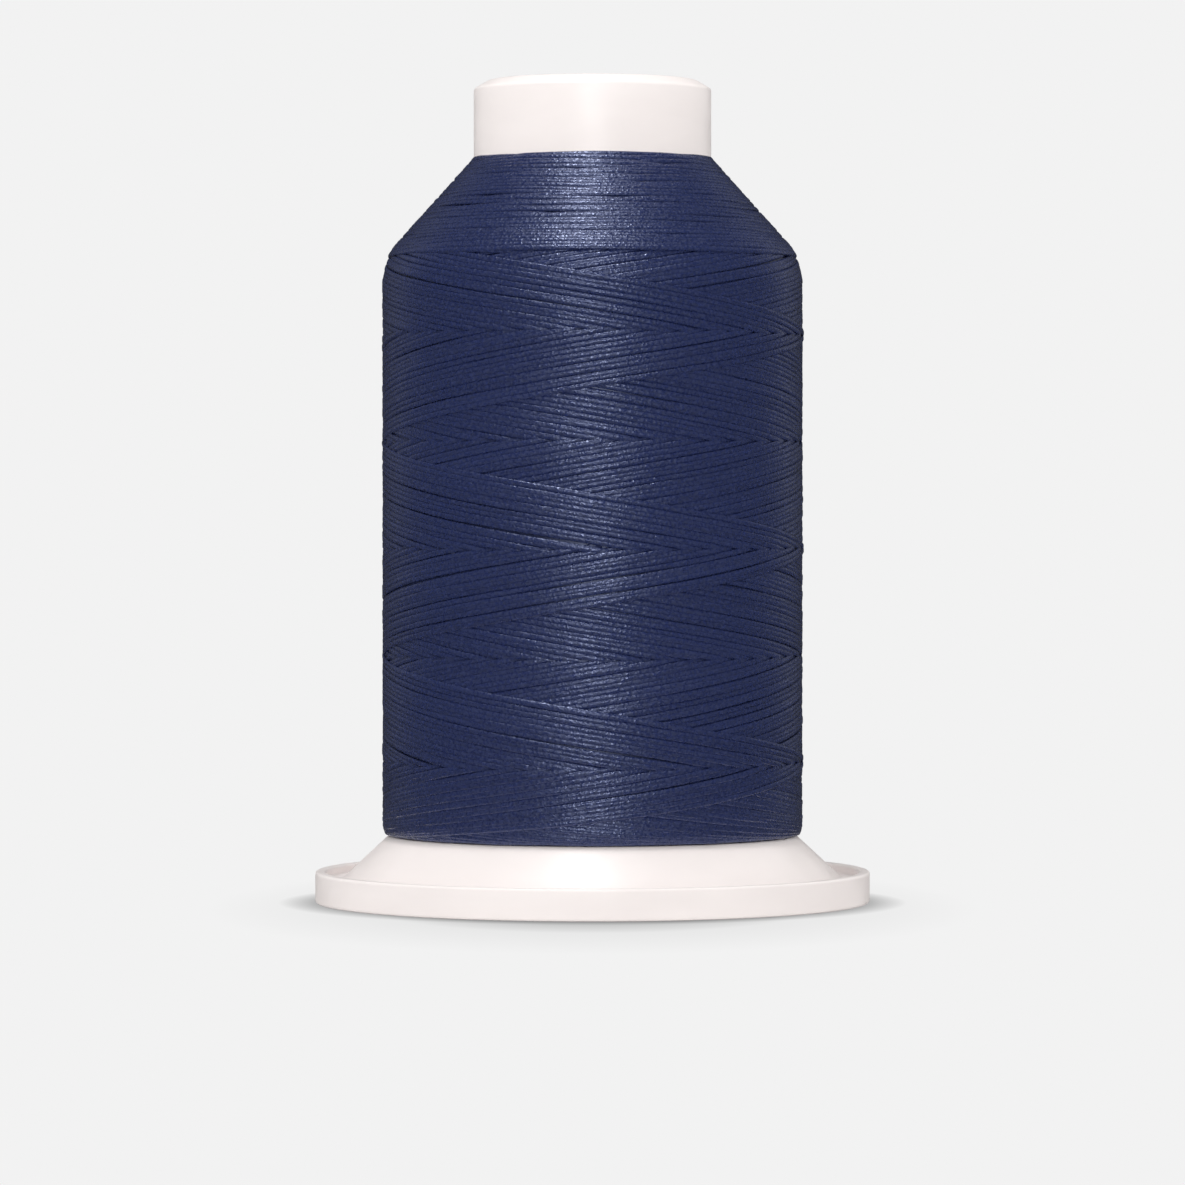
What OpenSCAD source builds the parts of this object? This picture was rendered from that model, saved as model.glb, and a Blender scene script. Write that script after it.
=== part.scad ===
// Snap spool of cross-wound thread.
// Millimetres. The origin is the centre of the foot's underside and +Z runs up the spool's axis.
// The foot stands still. The barrel and its thread lift off it by snap_travel, which opens the
// thread lock, and the foot's sprung fingers hold both ends of that travel.

/* [Foot] */
// Radius of the foot's rim
foot_r = 30; // [29.5:0.5:34]
// Height of the foot's rim
rim_h = 3.4; // [3:0.1:3.8]
// Height of the lip that the thread sits over
lip_z = 7.3; // [6.6:0.1:8]
// Radius at the top of the flare
flare_r = 22; // [21.8:0.1:22.6]
// Slope of the flare below the horizontal, in degrees
flare_slope = 43; // [41:1:48]
// Height of the dished floor between the flare and the rim
dish_z = 2.4; // [2.2:0.1:2.6]
// Thickness of the foot's walls
foot_wall = 1.2; // [1:0.1:1.3]

/* [Barrel] */
// Radius of the tube that the thread is wound on
tube_r = 12; // [12:0.1:12.4]
// Radius of the tube's bore
tube_bore_r = 10.4; // [10.3:0.1:10.6]
// Radius of the collar above the thread
collar_r = 12.83; // [12.6:0.01:13.4]
// Height at which the collar starts
collar_z = 80.5; // [78:0.05:84]
// Height of the collar's straight side
collar_h = 7.4; // [6:0.05:9]
// Radius of the bore that a spool pin enters
pin_bore_r = 4.5; // [3.5:0.1:5.5]

/* [Thread] */
// Radius of the wound thread
package_r = 22.88; // [22.6:0.01:24]
// Angle between the shoulder cone and the axis, in degrees
shoulder_angle = 42; // [36:0.1:44]
// Radius of the round between the cone and the cylinder
shoulder_round = 7.2; // [4:0.1:9]

/* [Snap] */
// How far the barrel lifts off the foot
snap_travel = 2.5; // [1.5:0.1:2.6]
// Number of sprung fingers on the foot's sleeve, a multiple of three
finger_count = 6; // [6, 9]

/* [Hidden] */
$fn = 96;

white_plastic = [0.97, 0.96, 0.95];
navy_thread = [0.16, 0.19, 0.35];
label_paper = [0.9, 0.9, 0.88];

arc_steps = 10;
face_gap = 0.1;
part_gap = 0.3;
sleeve_clearance = 0.08;

// Foot
edge_r = 0.35;
blend_r = 2.6;
rim_in_r = foot_r - foot_wall;
lip_w = 0.8;
recess_r = flare_r - lip_w;
recess_z = lip_z - foot_wall;
deck_under_z = recess_z - foot_wall;
flare_foot_r = flare_r + (lip_z - dish_z) / tan(flare_slope);
blend_c = [flare_foot_r + blend_r * tan(flare_slope / 2), dish_z + blend_r];
under_flare_r = flare_r - foot_wall * sin(flare_slope)
    + (lip_z - foot_wall * cos(flare_slope) - deck_under_z) / tan(flare_slope);

// Snap sleeve
sleeve_r = tube_bore_r - sleeve_clearance;
sleeve_bore_r = 9.1;
sleeve_top_z = 15;
sleeve_lead = 0.6;
bead_r = sleeve_r + 0.53;
bead_low_z = 12.2;
bead_top_z = 13.4;
bead_ramp = 0.4;
slot_w = 1.8;
slot_low_z = 8;

// Barrel
flange_h = 1.2;
flange_r = recess_r - part_gap;
flange_top_z = lip_z + face_gap;
barrel_low_z = flange_top_z - flange_h;
mouth_lead = 0.5;
groove_r = bead_r + 0.25;
groove_low_z = bead_low_z - snap_travel - face_gap;
groove_top_z = bead_top_z + face_gap;
detent_r = bead_r + 0.1;
detent_z = (groove_low_z + groove_top_z) / 2;
detent_h = 0.5;
bevel_z = collar_z + collar_h;
bevel_w = 1.63;
bevel_h = 0.95;
top_z = bevel_z + bevel_h;
top_recess_r = 9.8;
top_plate_h = 1.2;
top_plate_z = top_z - 0.8;
boss_r = pin_bore_r + 1.5;
boss_low_z = top_plate_z - 10;
key_count = 3;
key_w = slot_w - 2 * part_gap;
key_r = 9.3;
key_low_z = slot_low_z + 0.4;
wall_bite = 0.3;

// Thread
package_low_z = flange_top_z;
low_round_w = 0.58;
low_round_h = 1.3;
cone_low_r = package_r - shoulder_round * (1 - cos(shoulder_angle));
cone_low_z = collar_z - (cone_low_r - collar_r) / tan(shoulder_angle);
round_low_z = cone_low_z - shoulder_round * sin(shoulder_angle);

// Label
label_in_r = 12.5;
label_out_r = 20.5;
label_h = 0.2;

// Points along an arc, or along an ellipse where radius is [across, up].
function arc(centre, radius, from, to) =
    let (size = is_list(radius) ? radius : [radius, radius])
    [for (i = [0:arc_steps])
        let (angle = from + (to - from) * i / arc_steps)
        [centre[0] + size[0] * cos(angle), centre[1] + size[1] * sin(angle)]];

module turned(outline) {
    rotate_extrude() polygon(outline);
}

// A ring of count copies round the axis.
module around(count) {
    for (i = [0:count - 1]) rotate([0, 0, i * 360 / count]) children();
}

// A radial wall from radius r0 to r1 and from height z0 to z1.
module radial_wall(r0, r1, z0, z1, width) {
    translate([r0, -width / 2, z0]) cube([r1 - r0, width, z1 - z0]);
}

function foot_underside() = concat(
    [[sleeve_bore_r, deck_under_z], [under_flare_r, deck_under_z]],
    arc(blend_c, blend_r + foot_wall, 270 - flare_slope, 270),
    [[rim_in_r, dish_z - foot_wall], [rim_in_r, 0]]);

function foot_rim() = concat(
    arc([foot_r - edge_r, edge_r], edge_r, -90, 0),
    arc([foot_r - edge_r, rim_h - edge_r], edge_r, 0, 90),
    arc([rim_in_r + edge_r, rim_h - edge_r], edge_r, 90, 180));

function foot_flare() = concat(
    arc([rim_in_r - edge_r, dish_z + edge_r], edge_r, 0, -90),
    arc(blend_c, blend_r, 270, 270 - flare_slope),
    [[flare_r, lip_z], [recess_r, lip_z], [recess_r, recess_z]]);

function snap_sleeve() = [
    [sleeve_r, recess_z],
    [sleeve_r, bead_low_z],
    [bead_r, bead_low_z + bead_ramp],
    [bead_r, bead_top_z - bead_ramp],
    [sleeve_r, bead_top_z],
    [sleeve_r, sleeve_top_z - sleeve_lead],
    [sleeve_r - sleeve_lead, sleeve_top_z],
    [sleeve_bore_r, sleeve_top_z]];

module snap_foot() {
    color(white_plastic)
    difference() {
        turned(concat(foot_underside(), foot_rim(), foot_flare(), snap_sleeve()));
        around(finger_count)
            radial_wall(sleeve_bore_r - 1, bead_r + 1, slot_low_z, sleeve_top_z + 1, slot_w);
    }
}

function barrel_outside() = [
    [tube_bore_r + mouth_lead, barrel_low_z],
    [flange_r, barrel_low_z],
    [flange_r, flange_top_z],
    [tube_r, flange_top_z],
    [tube_r, collar_z],
    [collar_r, collar_z],
    [collar_r, bevel_z],
    [collar_r - bevel_w, top_z],
    [top_recess_r, top_z]];

function barrel_inside() = [
    [top_recess_r, top_plate_z],
    [pin_bore_r, top_plate_z],
    [pin_bore_r, boss_low_z],
    [boss_r, boss_low_z],
    [boss_r, top_plate_z - top_plate_h],
    [tube_bore_r, top_plate_z - top_plate_h],
    [tube_bore_r, groove_top_z],
    [groove_r, groove_top_z],
    [groove_r, detent_z + detent_h],
    [detent_r, detent_z + detent_h / 2],
    [detent_r, detent_z - detent_h / 2],
    [groove_r, detent_z - detent_h],
    [groove_r, groove_low_z],
    [tube_bore_r, groove_low_z],
    [tube_bore_r, barrel_low_z + mouth_lead]];

module barrel() {
    web_top_z = top_plate_z - top_plate_h / 2;
    color(white_plastic)
    union() {
        turned(concat(barrel_outside(), barrel_inside()));
        around(key_count) {
            radial_wall(key_r, tube_bore_r + wall_bite, key_low_z, web_top_z, key_w);
            radial_wall(boss_r - wall_bite, tube_bore_r + wall_bite, boss_low_z, web_top_z, key_w);
        }
    }
}

module thread_package() {
    color(navy_thread)
    turned(concat(
        [[tube_r, package_low_z]],
        arc([package_r - low_round_w, package_low_z + low_round_h], [low_round_w, low_round_h], -90, 0),
        arc([package_r - shoulder_round, round_low_z], shoulder_round, 0, shoulder_angle),
        [[collar_r, collar_z], [tube_r, collar_z]]));
}

module foot_label() {
    color(label_paper)
    translate([0, 0, deck_under_z - label_h])
    difference() {
        cylinder(r = label_out_r, h = label_h);
        translate([0, 0, -1]) cylinder(r = label_in_r, h = label_h + 2);
    }
}

snap_foot();
barrel();
thread_package();
foot_label();
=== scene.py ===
"""Looks for the snap spool of cross-wound thread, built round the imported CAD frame."""

import math

import bmesh
import bpy
import numpy as np
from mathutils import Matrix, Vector


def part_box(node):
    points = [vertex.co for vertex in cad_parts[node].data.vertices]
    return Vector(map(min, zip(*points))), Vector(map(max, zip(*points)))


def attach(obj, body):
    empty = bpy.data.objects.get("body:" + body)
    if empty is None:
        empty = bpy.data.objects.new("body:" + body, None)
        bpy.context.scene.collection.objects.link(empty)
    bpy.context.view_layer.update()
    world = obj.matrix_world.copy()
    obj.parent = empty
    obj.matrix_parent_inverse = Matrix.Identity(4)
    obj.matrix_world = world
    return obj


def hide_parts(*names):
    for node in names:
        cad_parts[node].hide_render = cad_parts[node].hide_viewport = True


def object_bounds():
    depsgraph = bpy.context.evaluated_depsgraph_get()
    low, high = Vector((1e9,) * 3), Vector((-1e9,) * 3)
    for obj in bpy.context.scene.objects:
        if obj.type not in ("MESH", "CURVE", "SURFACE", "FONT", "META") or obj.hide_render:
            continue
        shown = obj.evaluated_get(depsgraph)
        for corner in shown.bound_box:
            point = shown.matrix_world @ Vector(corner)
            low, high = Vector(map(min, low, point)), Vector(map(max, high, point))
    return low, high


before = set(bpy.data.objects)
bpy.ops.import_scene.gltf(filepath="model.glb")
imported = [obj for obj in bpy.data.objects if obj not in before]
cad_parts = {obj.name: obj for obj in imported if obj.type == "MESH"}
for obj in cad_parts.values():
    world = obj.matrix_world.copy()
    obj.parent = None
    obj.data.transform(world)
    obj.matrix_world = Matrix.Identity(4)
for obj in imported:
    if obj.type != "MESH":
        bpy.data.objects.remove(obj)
cad_low, cad_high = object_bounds()

MM = 0.001
foot_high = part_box("snap_foot")[1]
barrel_low, barrel_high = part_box("barrel")
package_low, package_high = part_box("thread_package")
rng = np.random.default_rng(11)

# ---------------------------------------------------------------- the package's outline
package_r = package_high.x
package_bottom = package_low.z
package_top = package_high.z
collar_r = 12.83 * MM
tube_r = 12.0 * MM
shoulder_angle = math.radians(42)
shoulder_round = 7.2 * MM
low_round_w = 0.58 * MM
low_round_h = 1.3 * MM
cone_low_r = package_r - shoulder_round * (1 - math.cos(shoulder_angle))
cone_low_z = package_top - (cone_low_r - collar_r) / math.tan(shoulder_angle)
round_low_z = cone_low_z - shoulder_round * math.sin(shoulder_angle)

# ---------------------------------------------------------------- the winding
# A strand is a straight line on the unrolled cylinder. Turns are counted from the front.
pitch = 23.0 * MM
strand_count = 42
strand_half_w = 0.35 * MM
strand_half_h = 0.185 * MM
strand_sides = 8
steps_per_turn = 128
fewest_steps = 6
layer_step = 0.14 * MM
core_segments = 160
dive_depth = 0.3 * MM
dive_turns = 0.02
stroke_turns = 3
falling_edge_z = 44.3 * MM
rising_edge_z = 32.3 * MM
top_turn_z = 72.8 * MM
low_turn_z = top_turn_z - stroke_turns * pitch
top_turn_half = 1.92 * MM
low_bend_z = 16.0 * MM
low_strand_z = package_bottom + 0.32 * MM

# Power of the strand's section. 1 makes an ellipse, and less makes it squarer.
section_power = 0.9

# How uneven a strand is: sideways, up and down, the place of its whole line, and its section.
sway = 0.08 * MM
ripple = 0.035 * MM
wander = 0.07 * MM
width_change = 0.12
height_change = 0.1

# The cone's arcs lie in rows down the slope. An arc reaches this share of a turn to each side.
arc_spacing = 0.46 * MM * math.cos(shoulder_angle)
arc_inset = 0.15 * MM
arcs_per_row = 4
arc_reach = 0.17
arc_steps = 44
arc_lift = 0.06 * MM
arc_width_change = 0.1
tuck_start = 0.72

# The strands' texture is laid out in millimetres along and round each strand, from a random start.
lie_start = 900
strand_girth = 1.5


# ---------------------------------------------------------------- material helpers
def new_material(name):
    material = bpy.data.materials.new(name)
    material.use_nodes = True
    tree = material.node_tree
    return material, tree, tree.nodes["Principled BSDF"]


def add_node(tree, kind, **settings):
    made = tree.nodes.new(kind)
    for key, value in settings.items():
        setattr(made, key, value)
    return made


def set_inputs(made, **values):
    """Sets sockets by name. A keyword has _ for each space of the name."""
    for key, value in values.items():
        made.inputs[key.replace("_", " ")].default_value = value


def noise(tree, vector, scale, detail=2.0, roughness=0.5):
    made = add_node(tree, "ShaderNodeTexNoise")
    set_inputs(made, Scale=scale, Detail=detail, Roughness=roughness)
    tree.links.new(vector, made.inputs["Vector"])
    return made.outputs[0]


def stretched(tree, vector, scale, turn=0.0):
    made = add_node(tree, "ShaderNodeMapping")
    set_inputs(made, Scale=scale, Rotation=(0.0, 0.0, turn))
    tree.links.new(vector, made.inputs["Vector"])
    return made.outputs["Vector"]


def ramp(tree, value, low, high, out_low=0.0, out_high=1.0):
    made = add_node(tree, "ShaderNodeMapRange")
    set_inputs(made, From_Min=low, From_Max=high, To_Min=out_low, To_Max=out_high)
    tree.links.new(value, made.inputs["Value"])
    return made.outputs["Result"]


def mixed_colour(tree, factor, first, second):
    made = add_node(tree, "ShaderNodeMix", data_type="RGBA")
    tree.links.new(factor, made.inputs[0])
    for socket, colour in ((made.inputs[6], first), (made.inputs[7], second)):
        if isinstance(colour, tuple):
            socket.default_value = (*colour, 1.0)
        else:
            tree.links.new(colour, socket)
    return made.outputs[2]


def bump(tree, height, strength, distance, normal=None):
    made = add_node(tree, "ShaderNodeBump")
    set_inputs(made, Strength=strength, Distance=distance)
    tree.links.new(height, made.inputs["Height"])
    if normal is not None:
        tree.links.new(normal, made.inputs["Normal"])
    return made.outputs["Normal"]


def object_coordinates(tree):
    return add_node(tree, "ShaderNodeTexCoord").outputs["Object"]


def vector_length(tree, vector):
    made = add_node(tree, "ShaderNodeVectorMath", operation="LENGTH")
    tree.links.new(vector, made.inputs[0])
    return made.outputs["Value"]


def product(tree, first, second):
    made = add_node(tree, "ShaderNodeMath", operation="MULTIPLY")
    tree.links.new(first, made.inputs[0])
    tree.links.new(second, made.inputs[1])
    return made.outputs[0]


def for_camera(tree, path, others, seen):
    """A shader that the camera sees as seen and all other rays meet as others."""
    made = add_node(tree, "ShaderNodeMixShader")
    tree.links.new(path.outputs["Is Camera Ray"], made.inputs[0])
    tree.links.new(others.outputs[0], made.inputs[1])
    tree.links.new(seen.outputs[0], made.inputs[2])
    return made.outputs[0]


# ---------------------------------------------------------------- materials
thread_dark = (0.010, 0.016, 0.066)
thread_light = (0.013, 0.021, 0.082)
# Painted glint: a lighter base colour for the filaments' speckles, standing in for their sparkle.
thread_painted_glint = (0.017, 0.026, 0.097)


def moulded_plastic(name, colour, shade):
    """White moulded plastic: faint flow marks, a fine satin skin and shallow dents."""
    material, tree, shader = new_material(name)
    place = object_coordinates(tree)
    flow = ramp(tree, noise(tree, stretched(tree, place, (1.0, 1.0, 2.5)), 60.0, 3.0), 0.35, 0.65)
    skin = noise(tree, place, 4200.0, 2.0)
    dents = noise(tree, place, 420.0, 3.0)
    tree.links.new(mixed_colour(tree, flow, colour, shade), shader.inputs["Base Color"])
    tree.links.new(ramp(tree, dents, 0.3, 0.7, 0.3, 0.42), shader.inputs["Roughness"])
    fine = bump(tree, skin, 0.12, 0.01 * MM)
    tree.links.new(bump(tree, dents, 0.1, 0.05 * MM, fine), shader.inputs["Normal"])
    set_inputs(shader, IOR=1.5)
    return material


def wound_thread(name):
    """Multifilament thread: filaments twist along the strand and glint here and there, partly as a
    painted glint in the base colour.
    """
    material, tree, shader = new_material(name)
    along = add_node(tree, "ShaderNodeUVMap", uv_map="strand_lie").outputs["UV"]
    filaments = noise(tree, stretched(tree, along, (2.3, 4.6, 1.0), math.radians(35)), 1.0, 1.0, 0.5)
    crimp = noise(tree, stretched(tree, along, (3.3, 3.8, 1.0), math.radians(-15)), 1.0, 1.0, 0.5)
    batch = ramp(tree, noise(tree, stretched(tree, along, (0.03, 0.9, 1.0)), 1.0, 1.0), 0.3, 0.7)
    body = mixed_colour(tree, batch, thread_dark, thread_light)
    # Painted glint: the speckles get a lighter base colour, on top of the glints that the bumps and
    # roughness make.
    glint = ramp(tree, filaments, 0.45, 0.65)
    tree.links.new(mixed_colour(tree, glint, body, thread_painted_glint), shader.inputs["Base Color"])
    tree.links.new(ramp(tree, crimp, 0.4, 0.6, 0.48, 0.22), shader.inputs["Roughness"])
    coarse = bump(tree, filaments, 1.0, 0.07 * MM)
    tree.links.new(bump(tree, crimp, 1.0, 0.05 * MM, coarse), shader.inputs["Normal"])
    set_inputs(shader, IOR=1.6, Specular_IOR_Level=0.95, Specular_Tint=(0.62, 0.7, 1.0, 1.0))
    return material


def label_paper(name):
    """Coated paper: faint fibres and a soft mottle."""
    material, tree, shader = new_material(name)
    place = object_coordinates(tree)
    fibres = noise(tree, stretched(tree, place, (1.0, 0.35, 1.0)), 2600.0, 3.0)
    mottle = ramp(tree, noise(tree, place, 240.0, 2.0), 0.35, 0.65)
    paper_colour = mixed_colour(tree, mottle, (0.8, 0.8, 0.78), (0.74, 0.74, 0.72))
    tree.links.new(paper_colour, shader.inputs["Base Color"])
    tree.links.new(ramp(tree, fibres, 0.3, 0.7, 0.6, 0.8), shader.inputs["Roughness"])
    tree.links.new(bump(tree, fibres, 0.2, 0.02 * MM), shader.inputs["Normal"])
    return material


# ---------------------------------------------------------------- the package's surface
def surface_at(z):
    """Radius of the package's outline at heights z, and its outward slope (across, up)."""
    z = np.asarray(z, float)
    low_share = np.clip((package_bottom + low_round_h - z) / low_round_h, 0.0, 1.0)
    radius = package_r - low_round_w * (1 - np.sqrt(1 - low_share**2))
    reach = np.clip((z - round_low_z) / shoulder_round, 0.0, math.sin(shoulder_angle))
    turn = np.arcsin(reach)
    radius = radius - shoulder_round * (1 - np.cos(turn))
    radius = radius - np.clip(z - cone_low_z, 0.0, None) * math.tan(shoulder_angle)
    return radius, np.cos(turn), np.sin(turn)


def on_package(turns, z, depth):
    """Points at depth under the package's outline, and their outward directions."""
    radius, out, up = surface_at(z)
    angle = 2 * np.pi * turns
    across = radius - depth * out
    centre = np.stack([across * np.sin(angle), -across * np.cos(angle), z - depth * up], -1)
    outward = np.stack([out * np.sin(angle), -out * np.cos(angle), up], -1)
    return centre, outward


def eased(share):
    """A share of 0 to 1 with a soft start and a soft end."""
    return share**2 * (3 - 2 * share)


def strand_height(line_z):
    """Height of a strand whose straight line would be at line_z. It bends over at both turns."""
    from_top = top_turn_z - line_z
    bent_top = top_turn_z - top_turn_half / 2 - from_top**2 / (2 * top_turn_half)
    height = np.where(from_top < top_turn_half, bent_top, line_z)
    span = low_bend_z - low_turn_z
    t = np.clip((line_z - low_turn_z) / span, -0.2, 1.0)
    bent_low = low_strand_z + eased(t) * (low_bend_z - low_strand_z) + (t**3 - t**2) * span
    return np.where(line_z < low_bend_z, bent_low, height)


def smooth_noise(turns, per_turn):
    """A smooth random line over the turns given, about -1 to 1."""
    first = math.floor(turns[0] * per_turn)
    knots = rng.normal(0.0, 0.6, math.ceil(turns[-1] * per_turn) - first + 2)
    place = turns * per_turn - first
    i = np.floor(place).astype(int)
    share = eased(place - i)
    return knots[i] * (1 - share) + knots[i + 1] * share


def waver(turns, slow, fast, fast_share):
    """A slow smooth noise with a share of a fast one on it."""
    return smooth_noise(turns, slow) + fast_share * smooth_noise(turns, fast)


class TubeBatch:
    """Collects closed flattened tubes, and makes one mesh of them."""

    def __init__(self):
        self.points = []
        self.quads = []
        self.quad_uv = []
        self.caps = []
        self.count = 0

    def add(self, centre, outward, half_w, half_h):
        """A tube round centre with its wide side square to outward."""
        ahead = np.gradient(centre, axis=0)
        ahead /= np.linalg.norm(ahead, axis=1)[:, None]
        side = np.cross(outward, ahead)
        side /= np.linalg.norm(side, axis=1)[:, None]
        lift = np.cross(ahead, side)
        ring = np.arange(strand_sides)
        angle = 2 * np.pi * (ring + 0.5) / strand_sides - np.pi / 2
        wide = np.sign(np.cos(angle)) * np.abs(np.cos(angle)) ** section_power
        tall = np.sign(np.sin(angle)) * np.abs(np.sin(angle)) ** section_power
        across = side[:, None, :] * wide[None, :, None] * half_w[:, None, None]
        high = lift[:, None, :] * tall[None, :, None] * half_h[:, None, None]
        rows = len(centre)
        after = (ring + 1) % strand_sides
        row = np.arange(rows - 1)[:, None] * strand_sides + self.count
        next_row = row + strand_sides
        quads = np.stack([row + ring, row + after, next_row + after, next_row + ring], -1)
        steps = np.linalg.norm(np.diff(centre, axis=0), axis=1) / MM
        along = np.concatenate([[0.0], np.cumsum(steps)]) + rng.uniform(0, lie_start)
        around = rng.uniform(0, lie_start) + np.arange(strand_sides + 1) * strand_girth / strand_sides
        lie = np.stack(np.broadcast_arrays(along[:, None], around[None, :]), -1)
        uv = np.stack([lie[:-1, :-1], lie[:-1, 1:], lie[1:, 1:], lie[1:, :-1]], -2)
        self.points.append((centre[:, None, :] + across + high).reshape(-1, 3))
        self.quads.append(quads.reshape(-1, 4))
        self.quad_uv.append(uv.reshape(-1, 4, 2))
        self.caps.append(self.count + ring[::-1])
        self.caps.append(self.count + (rows - 1) * strand_sides + ring)
        self.count += rows * strand_sides

    def piece(self, name, material):
        points = np.concatenate(self.points)
        quads = np.concatenate(self.quads)
        caps = np.array(self.caps)
        corners = np.concatenate([quads.ravel(), caps.ravel()])
        cap_starts = quads.size + np.arange(len(caps)) * strand_sides
        starts = np.concatenate([np.arange(len(quads)) * 4, cap_starts])
        uv = np.concatenate([np.concatenate(self.quad_uv).reshape(-1, 2), np.zeros((caps.size, 2))])
        mesh = bpy.data.meshes.new(name)
        mesh.vertices.add(len(points))
        mesh.vertices.foreach_set("co", points.astype(np.float32).ravel())
        mesh.loops.add(len(corners))
        mesh.loops.foreach_set("vertex_index", corners.astype(np.int32))
        mesh.polygons.add(len(starts))
        mesh.polygons.foreach_set("loop_start", starts.astype(np.int32))
        mesh.update(calc_edges=True)
        mesh.uv_layers.new(name="strand_lie").data.foreach_set("uv", uv.astype(np.float32).ravel())
        return link_piece(name, mesh, material)


def link_piece(name, mesh, material):
    mesh.materials.append(material)
    mesh.shade_smooth()
    piece = bpy.data.objects.new(name, mesh)
    bpy.context.scene.collection.objects.link(piece)
    return piece


def wind_strands(name, falling, material):
    """One direction's strands. Each shows from the newest crossing strand's edge to a fold row."""
    batch = TubeBatch()
    slope = -pitch if falling else pitch
    for k in range(strand_count):
        own_age = (k + 0.5) / strand_count
        if falling:
            base = falling_edge_z - own_age * pitch
            first_turn = (base - top_turn_z) / pitch
        else:
            base = rising_edge_z + own_age * pitch
            first_turn = (low_turn_z - base) / pitch
        for half in range(2 * stroke_turns):
            start = first_turn + (half + own_age) / 2
            end = first_turn + (half + 1) / 2
            steps = max(fewest_steps, int((end - start + 2 * dive_turns) * steps_per_turn))
            turns = np.linspace(start - dive_turns, end + dive_turns, steps)
            cross_age = np.clip(own_age + (end - turns) * 2, 0, 1)
            under_edge = np.clip((start - turns) / dive_turns, 0, 1)
            under_row = np.clip((turns - end) / dive_turns + 0.5, 0, 1)
            dive = dive_depth * eased(np.maximum(under_edge, under_row))
            layers = layer_step * (own_age + cross_age)
            own_line = base + rng.normal(0.0, wander)
            line_z = own_line + slope * turns + sway * waver(turns, 5.0, 25.0, 0.5)
            depth = strand_half_h + layers + dive + ripple * waver(turns, 7.0, 40.0, 0.6)
            centre, outward = on_package(turns, strand_height(line_z), depth)
            half_w = strand_half_w * (1 + width_change * smooth_noise(turns, 12.0))
            half_h = strand_half_h * (1 + height_change * smooth_noise(turns, 30.0))
            batch.add(centre, outward, half_w, half_h)
    return batch.piece(name, material)


def wind_shoulder(name, material):
    """The cone: shallow arcs, where older strokes turned back, lie over one another down the slope."""
    batch = TubeBatch()
    rows = math.ceil((package_top - top_turn_z + top_turn_half) / arc_spacing) + 2
    for row in range(rows):
        row_z = package_top - arc_inset - row * arc_spacing
        offset = rng.uniform(0, 1)
        for arc in range(arcs_per_row):
            middle = offset + (arc + rng.uniform(-0.1, 0.1)) / arcs_per_row
            turns = np.linspace(middle - arc_reach, middle + arc_reach, arc_steps)
            share = np.abs(turns - middle) / arc_reach
            sag = rng.uniform(0.2, 0.6) * MM * share**2
            fall = sag + sway * waver(turns, 7.0, 30.0, 0.5)
            tuck = dive_depth * np.clip((share - tuck_start) / (1 - tuck_start), 0, 1) ** 2
            depth = strand_half_h - arc_lift * (1 - share) + tuck
            centre, outward = on_package(turns, row_z - fall * math.cos(shoulder_angle), depth)
            half_w = strand_half_w * (1 + arc_width_change * smooth_noise(turns, 20.0))
            batch.add(centre, outward, half_w, np.full(len(turns), strand_half_h))
    return batch.piece(name, material)


def turned(profile, segments, first=0.0, last=1.0):
    """Points and faces of a closed outline of (radius, height), turned from first to last in turns."""
    whole = last - first >= 1
    count = segments if whole else segments + 1
    angle = 2 * np.pi * (first + (last - first) * np.arange(count) / segments)
    radius = np.array(profile)[:, :1]
    z = np.array(profile)[:, 1:]
    points = np.stack([radius * np.sin(angle), -radius * np.cos(angle), z + 0 * angle], -1)
    i, j = np.meshgrid(np.arange(len(profile)), np.arange(segments), indexing="ij")
    row = i * count
    next_row = (i + 1) % len(profile) * count
    next_j = (j + 1) % count
    corners = np.stack([row + j, row + next_j, next_row + next_j, next_row + j], -1)
    faces = corners.reshape(-1, 4).tolist()
    if not whole:
        ring = np.arange(len(profile)) * count
        faces += [ring.tolist(), (ring + segments)[::-1].tolist()]
    return points.reshape(-1, 3).tolist(), faces


def rounded(outline, steps=4):
    """A closed outline of (radius, height, rounding) with each corner bent into a curve."""
    made = []
    corners = [np.array(corner[:2]) for corner in outline]
    for i, (here, (_, _, rounding)) in enumerate(zip(corners, outline)):
        back = corners[i - 1] - here
        ahead = corners[(i + 1) % len(corners)] - here
        back_length = np.linalg.norm(back)
        ahead_length = np.linalg.norm(ahead)
        reach = min(rounding, 0.45 * back_length, 0.45 * ahead_length)
        if reach <= 0:
            made.append(tuple(here))
            continue
        start = here + back / back_length * reach
        end = here + ahead / ahead_length * reach
        for t in np.linspace(0, 1, steps + 1):
            made.append(tuple((1 - t) ** 2 * start + 2 * t * (1 - t) * here + t**2 * end))
    return made


def joined_piece(name, parts, material):
    """One mesh piece from several closed shells of (points, faces)."""
    points = []
    faces = []
    for part_points, part_faces in parts:
        faces += [[len(points) + corner for corner in face] for face in part_faces]
        points += part_points
    mesh = bpy.data.meshes.new(name)
    mesh.from_pydata(points, [], faces)
    shell = bmesh.new()
    shell.from_mesh(mesh)
    bmesh.ops.recalc_face_normals(shell, faces=shell.faces)
    shell.to_mesh(mesh)
    shell.free()
    piece = link_piece(name, mesh, material)
    mesh.set_sharp_from_angle(angle=math.radians(40))
    weighting = piece.modifiers.new("weighting", "WEIGHTED_NORMAL")
    weighting.keep_sharp = True
    return piece


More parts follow.
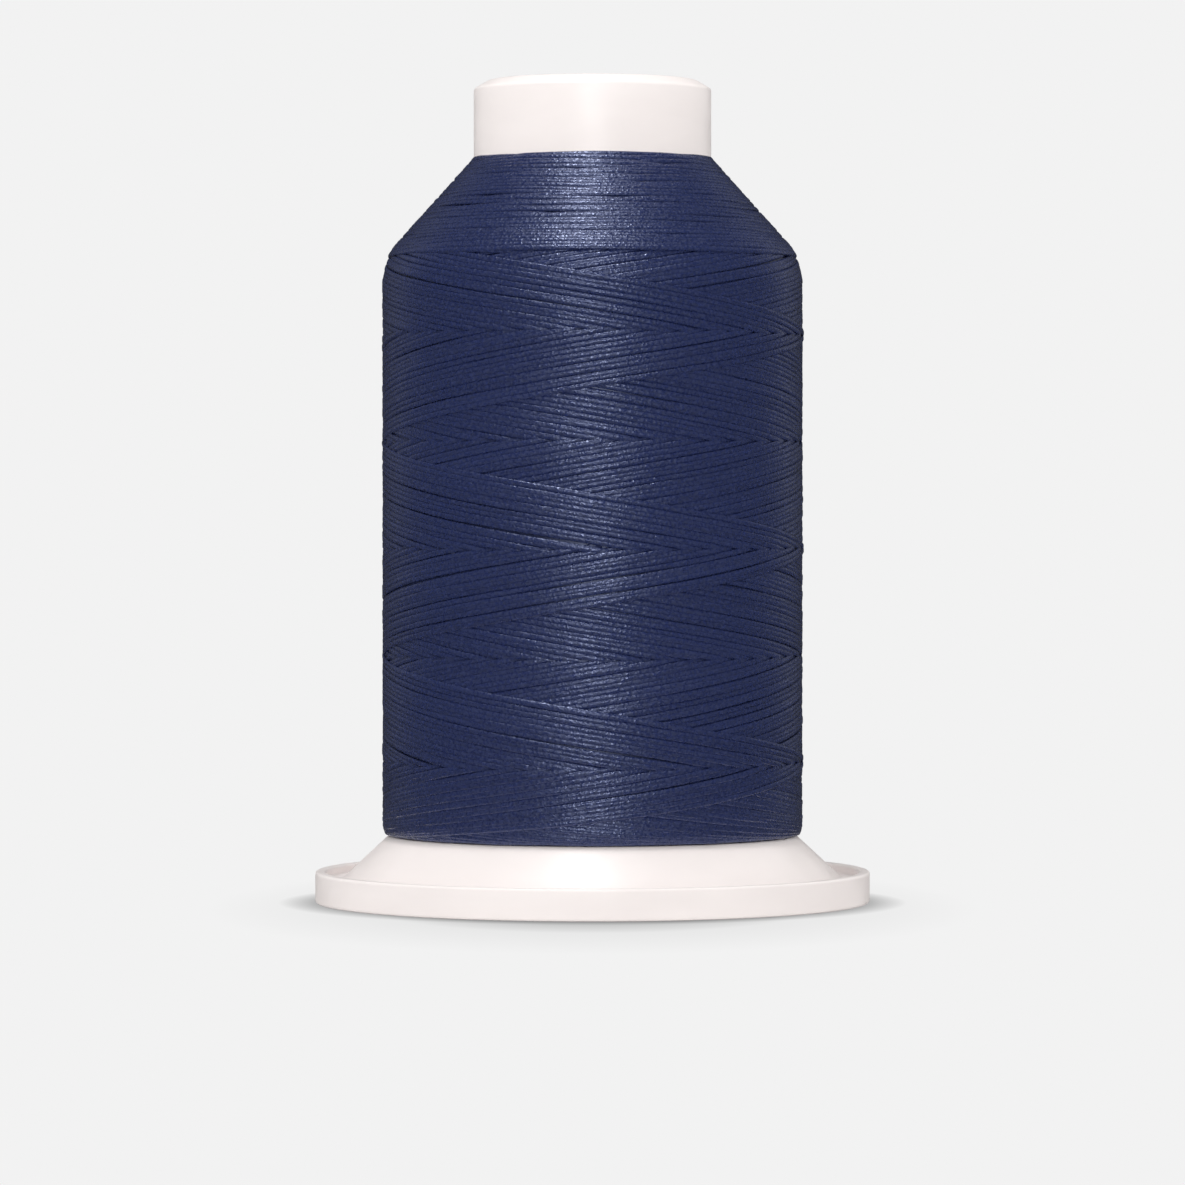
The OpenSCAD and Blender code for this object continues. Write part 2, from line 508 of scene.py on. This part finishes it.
def package_core(name, material):
    """The older layers under the strands, one closed turned solid."""
    stretches = (
        (package_bottom, package_bottom + low_round_h, 8),
        (package_bottom + low_round_h, round_low_z, 24),
        (round_low_z, cone_low_z, 16),
        (cone_low_z, package_top, 12),
    )
    z = np.unique(np.concatenate([np.linspace(*stretch) for stretch in stretches]))
    radius, out, up = surface_at(z)
    deep = 2 * strand_half_h + layer_step
    profile = [(tube_r, package_bottom)]
    profile += list(zip(radius - deep * out, z - deep * up * (z > round_low_z)))
    profile += [(tube_r, profile[-1][1])]
    return joined_piece(name, [turned(profile, core_segments)], material)


# ---------------------------------------------------------------- the plastic mouldings
round_segments = 256
finger_segments = 14
foot_r = foot_high.x
rim_h = 3.4 * MM
lip_z = package_bottom - 0.1 * MM
dish_z = 2.4 * MM
foot_wall = 1.2 * MM
flare_r = 22.0 * MM
flare_slope = math.radians(43)
lip_w = 0.8 * MM
blend_r = 2.6 * MM
recess_r = flare_r - lip_w
recess_z = lip_z - foot_wall
deck_under_z = recess_z - foot_wall
sleeve_r = 10.32 * MM
sleeve_bore_r = 9.1 * MM
sleeve_top_z = foot_high.z
bead_r = 10.85 * MM
bead_low_z = 12.2 * MM
bead_top_z = 13.4 * MM
slot_low_z = 8.0 * MM
slot_w = 1.8 * MM
finger_count = 6
finger_root = 0.2 * MM


def foot_outline():
    """The foot's section up to its fingers' roots: underside, rim, dish, flare, lip and sleeve."""
    rim_in_r = foot_r - foot_wall
    flare_foot_r = flare_r + (lip_z - dish_z) / math.tan(flare_slope)
    blend_w = blend_r * math.tan(flare_slope / 2)
    under_flare_r = flare_r - foot_wall * math.sin(flare_slope)
    under_flare_r += (lip_z - foot_wall * math.cos(flare_slope) - deck_under_z) / math.tan(flare_slope)
    return rounded([
        (sleeve_bore_r, deck_under_z, 0.3 * MM),
        (under_flare_r, deck_under_z, 0.6 * MM),
        (flare_foot_r + blend_w - 0.4 * MM, dish_z - foot_wall, 1.4 * MM),
        (rim_in_r, dish_z - foot_wall, 0.2 * MM),
        (rim_in_r, 0.0, 0.15 * MM),
        (foot_r, 0.0, 0.35 * MM),
        (foot_r, rim_h, 0.35 * MM),
        (rim_in_r, rim_h, 0.35 * MM),
        (rim_in_r, dish_z, 0.3 * MM),
        (flare_foot_r, dish_z, 2 * blend_w),
        (flare_r, lip_z, 0.15 * MM),
        (recess_r, lip_z, 0.15 * MM),
        (recess_r, recess_z, 0.2 * MM),
        (sleeve_r, recess_z, 0.3 * MM),
        (sleeve_r, slot_low_z + finger_root, 0.0),
        (sleeve_bore_r, slot_low_z + finger_root, 0.0),
    ], steps=6)


def finger_outline():
    """The section of one sprung finger, with the bead that snaps into the barrel."""
    return rounded([
        (sleeve_bore_r, slot_low_z, 0.0),
        (sleeve_r, slot_low_z, 0.0),
        (sleeve_r, bead_low_z, 0.15 * MM),
        (bead_r, bead_low_z + 0.4 * MM, 0.2 * MM),
        (bead_r, bead_top_z - 0.4 * MM, 0.2 * MM),
        (sleeve_r, bead_top_z, 0.15 * MM),
        (sleeve_r, sleeve_top_z - 0.6 * MM, 0.2 * MM),
        (sleeve_r - 0.6 * MM, sleeve_top_z, 0.2 * MM),
        (sleeve_bore_r, sleeve_top_z, 0.2 * MM),
    ])


def snap_foot(name, material):
    """The turned foot with its ring of fingers, which leave slots for the barrel's keys."""
    parts = [turned(foot_outline(), round_segments)]
    half_slot = math.asin(slot_w / 2 / bead_r) / (2 * math.pi)
    for finger in range(finger_count):
        middle = (finger + 0.5) / finger_count + 0.25
        reach = 0.5 / finger_count - half_slot
        parts.append(turned(finger_outline(), finger_segments, middle - reach, middle + reach))
    return joined_piece(name, parts, material)


flange_r = recess_r - 0.3 * MM
flange_low_z = barrel_low.z
tube_bore_r = 10.4 * MM
groove_r = 11.1 * MM
groove_low_z = 9.6 * MM
groove_top_z = 13.5 * MM
detent_r = 10.95 * MM
detent_z = (groove_low_z + groove_top_z) / 2
detent_h = 0.5 * MM
collar_top_z = barrel_high.z
bevel_w = 1.63 * MM
bevel_h = 0.95 * MM
top_recess_r = 9.8 * MM
top_plate_z = collar_top_z - 0.8 * MM
top_plate_h = 1.2 * MM
pin_bore_r = 4.5 * MM
boss_r = 6.0 * MM
boss_low_z = top_plate_z - 10 * MM
key_w = 1.2 * MM
key_r = 9.3 * MM
key_low_z = 8.4 * MM
key_count = 3
collar_skirt = 0.6 * MM
wall_bite = 0.3 * MM


def barrel_outline():
    """The barrel's section: flange, tube, collar, recessed top, spool-pin boss and snap groove."""
    return rounded([
        (tube_bore_r + 0.5 * MM, flange_low_z, 0.1 * MM),
        (flange_r, flange_low_z, 0.2 * MM),
        (flange_r, package_bottom, 0.2 * MM),
        (tube_r, package_bottom, 0.1 * MM),
        (tube_r, package_top - collar_skirt, 0.1 * MM),
        (collar_r, package_top - collar_skirt, 0.1 * MM),
        (collar_r, collar_top_z - bevel_h, 0.25 * MM),
        (collar_r - bevel_w, collar_top_z, 0.35 * MM),
        (top_recess_r, collar_top_z, 0.3 * MM),
        (top_recess_r, top_plate_z, 0.2 * MM),
        (pin_bore_r, top_plate_z, 0.25 * MM),
        (pin_bore_r, boss_low_z, 0.15 * MM),
        (boss_r, boss_low_z, 0.15 * MM),
        (boss_r, top_plate_z - top_plate_h, 0.3 * MM),
        (tube_bore_r, top_plate_z - top_plate_h, 0.3 * MM),
        (tube_bore_r, groove_top_z, 0.1 * MM),
        (groove_r, groove_top_z, 0.1 * MM),
        (groove_r, detent_z + detent_h, 0.05 * MM),
        (detent_r, detent_z + detent_h / 2, 0.05 * MM),
        (detent_r, detent_z - detent_h / 2, 0.05 * MM),
        (groove_r, detent_z - detent_h, 0.05 * MM),
        (groove_r, groove_low_z, 0.1 * MM),
        (tube_bore_r, groove_low_z, 0.1 * MM),
        (tube_bore_r, flange_low_z + 0.5 * MM, 0.1 * MM),
    ])


def radial_wall(share, r0, r1, z0, z1, width):
    """Points and faces of a flat wall that stands out from the axis."""
    angle = 2 * math.pi * share
    out = np.array([math.cos(angle), math.sin(angle), 0.0])
    side = np.array([-math.sin(angle), math.cos(angle), 0.0]) * width / 2
    points = []
    for z in (z0, z1):
        for radius, turn in ((r0, -1), (r1, -1), (r1, 1), (r0, 1)):
            points.append((out * radius + side * turn + np.array([0.0, 0.0, z])).tolist())
    ends = [[0, 1, 2, 3], [4, 5, 6, 7]]
    sides = [[i, (i + 1) % 4, (i + 1) % 4 + 4, i + 4] for i in range(4)]
    return points, ends + sides


def barrel(name, material):
    """The tube with its collar, and a long key and a short boss web at each third of a turn."""
    parts = [turned(barrel_outline(), round_segments)]
    out_r = tube_bore_r + wall_bite
    web_top_z = top_plate_z - top_plate_h / 2
    for key in range(key_count):
        share = key / key_count
        parts.append(radial_wall(share, key_r, out_r, key_low_z, web_top_z, key_w))
        parts.append(radial_wall(share, boss_r - wall_bite, out_r, boss_low_z, web_top_z, key_w))
    return joined_piece(name, parts, material)


# ---------------------------------------------------------------- the object
plastic = moulded_plastic("white_plastic", (0.86, 0.80, 0.78), (0.82, 0.76, 0.74))
thread = wound_thread("navy_thread")
paper = label_paper("label_stock")

foot_piece = snap_foot("foot_moulding", plastic)
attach(foot_piece, "foot")
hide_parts("snap_foot")

barrel_piece = barrel("barrel_moulding", plastic)
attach(barrel_piece, "spool")
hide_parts("barrel")

label_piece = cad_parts["foot_label"]
label_piece.data.materials.clear()
label_piece.data.materials.append(paper)

core = package_core("thread_core", thread)
falling_strands = wind_strands("thread_winding_falling", True, thread)
rising_strands = wind_strands("thread_winding_rising", False, thread)
shoulder_strands = wind_shoulder("thread_shoulder_winding", thread)
for piece in (core, falling_strands, rising_strands, shoulder_strands):
    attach(piece, "spool")
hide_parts("thread_package")


# ---------------------------------------------------------------- the studio
backdrop = (0.888, 0.888, 0.888, 1.0)
white = (1.0, 1.0, 1.0, 1.0)
fill_back = 1.5
fill_front = 0.5
gloss_back = 0.05
gloss_front = 0.06

# What the floor gives back to diffuse rays and to glossy ones.
floor_grey = (0.85, 0.85, 0.85)
floor_gloss = (0.05, 0.05, 0.05)
floor_r = 3.0
floor_z = -0.02 * MM

# The floor's painted shadow, as the camera sees it. Each part fades out from its own shade: the
# contact over contact_w outside the foot, and near and far between two multiples of the foot's radius.
contact_shade = 0.55
contact_w = 4.0 * MM
near_shade = 0.7
near_from = 0.9
near_to = 1.3
far_shade = 0.9
far_from = 1.2
far_to = 2.2
shadow_forward = 0.2
shadow_narrowing = 1.6

focal_length = 176.8
sensor_width = 36.0
eye = Vector((0, -0.63, 44.3 * MM))
aim = Vector((0, 0, 33.5 * MM))


def pale_world():
    """The camera sees an even backdrop. Diffuse light comes from a bright room, gloss from a dim one."""
    world = bpy.data.worlds.new("studio")
    bpy.context.scene.world = world
    world.use_nodes = True
    tree = world.node_tree
    path = add_node(tree, "ShaderNodeLightPath")
    split = add_node(tree, "ShaderNodeSeparateXYZ")
    tree.links.new(add_node(tree, "ShaderNodeTexCoord").outputs["Generated"], split.inputs[0])
    back_to_front = split.outputs["Y"]
    gloss = ramp(tree, back_to_front, 1.0, -1.0, gloss_back, gloss_front)
    fill = ramp(tree, back_to_front, 1.0, -1.0, fill_back, fill_front)
    strength = add_node(tree, "ShaderNodeMix", data_type="FLOAT")
    tree.links.new(path.outputs["Is Diffuse Ray"], strength.inputs["Factor"])
    tree.links.new(gloss, strength.inputs["A"])
    tree.links.new(fill, strength.inputs["B"])
    room = tree.nodes["Background"]
    set_inputs(room, Color=white)
    tree.links.new(strength.outputs["Result"], room.inputs["Strength"])
    seen = add_node(tree, "ShaderNodeBackground")
    set_inputs(seen, Color=backdrop, Strength=1.0)
    tree.links.new(for_camera(tree, path, room, seen), tree.nodes["World Output"].inputs["Surface"])


def floor_material(contact_r):
    """The camera sees the backdrop's white with a painted soft shadow. Light meets a plain grey."""
    material, tree, shader = new_material("floor")
    set_inputs(shader, Roughness=0.9, Specular_IOR_Level=0.0)
    path = add_node(tree, "ShaderNodeLightPath")
    bounced = mixed_colour(tree, path.outputs["Is Glossy Ray"], floor_grey, floor_gloss)
    tree.links.new(bounced, shader.inputs["Base Color"])
    place = object_coordinates(tree)
    from_axis = vector_length(tree, place)
    # Painted shadow: the contact, near and far shades darken the floor round the foot.
    contact = ramp(tree, from_axis, contact_r, contact_r + contact_w, contact_shade, 1.0)
    forward = add_node(tree, "ShaderNodeMapping")
    set_inputs(forward, Location=(0.0, contact_r * shadow_forward, 0.0))
    set_inputs(forward, Scale=(shadow_narrowing, 1.0, 1.0))
    tree.links.new(place, forward.inputs["Vector"])
    reach = vector_length(tree, forward.outputs["Vector"])
    near = ramp(tree, reach, contact_r * near_from, contact_r * near_to, near_shade, 1.0)
    far = ramp(tree, reach, contact_r * far_from, contact_r * far_to, far_shade, 1.0)
    # Painted shadow: the camera sees this glow of the backdrop's white, darkened round the foot.
    painted_shadow_glow = add_node(tree, "ShaderNodeEmission")
    set_inputs(painted_shadow_glow, Color=backdrop)
    tree.links.new(product(tree, contact, product(tree, near, far)), painted_shadow_glow.inputs["Strength"])
    surface = for_camera(tree, path, shader, painted_shadow_glow)
    tree.links.new(surface, tree.nodes["Material Output"].inputs["Surface"])
    return material


def pale_floor():
    bpy.ops.mesh.primitive_circle_add(
        vertices=96, radius=floor_r, fill_type="NGON", location=(0, 0, floor_z)
    )
    floor = bpy.context.object
    floor.name = "floor"
    floor.data.materials.append(floor_material(foot_r))


def soft_light(name, azimuth, elevation, distance, width, height, power):
    """A softbox aimed at the object's middle. Azimuth 0 is in front and 90 is on the right."""
    light = bpy.data.lights.new(name, "AREA")
    light.shape = "RECTANGLE"
    light.size = width
    light.size_y = height
    light.energy = power
    lamp = bpy.data.objects.new(name, light)
    bpy.context.scene.collection.objects.link(lamp)
    around = math.radians(azimuth)
    up = math.radians(elevation)
    middle = Vector((0, 0, cad_high.z / 2))
    across = math.cos(up) * distance
    offset = Vector((math.sin(around) * across, -math.cos(around) * across, math.sin(up) * distance))
    lamp.location = middle + offset
    lamp.rotation_euler = (middle - lamp.location).to_track_quat("-Z", "Y").to_euler()
    lamp.visible_camera = False


def front_camera():
    data = bpy.data.cameras.new("camera")
    data.lens = focal_length
    data.sensor_width = sensor_width
    camera = bpy.data.objects.new("camera", data)
    bpy.context.scene.collection.objects.link(camera)
    camera.location = eye
    camera.rotation_euler = (aim - eye).to_track_quat("-Z", "Y").to_euler()
    bpy.context.scene.camera = camera


pale_world()
pale_floor()
soft_light("overhead", azimuth=-22, elevation=78, distance=0.7, width=0.12, height=0.3, power=2.1)
soft_light("front", azimuth=0, elevation=12, distance=0.85, width=0.3, height=0.3, power=1.7)
soft_light("left", azimuth=-132, elevation=20, distance=0.6, width=0.2, height=0.5, power=0.08)
soft_light("right", azimuth=132, elevation=20, distance=0.6, width=0.2, height=0.5, power=0.12)
front_camera()
bpy.context.scene.view_settings.view_transform = "Standard"
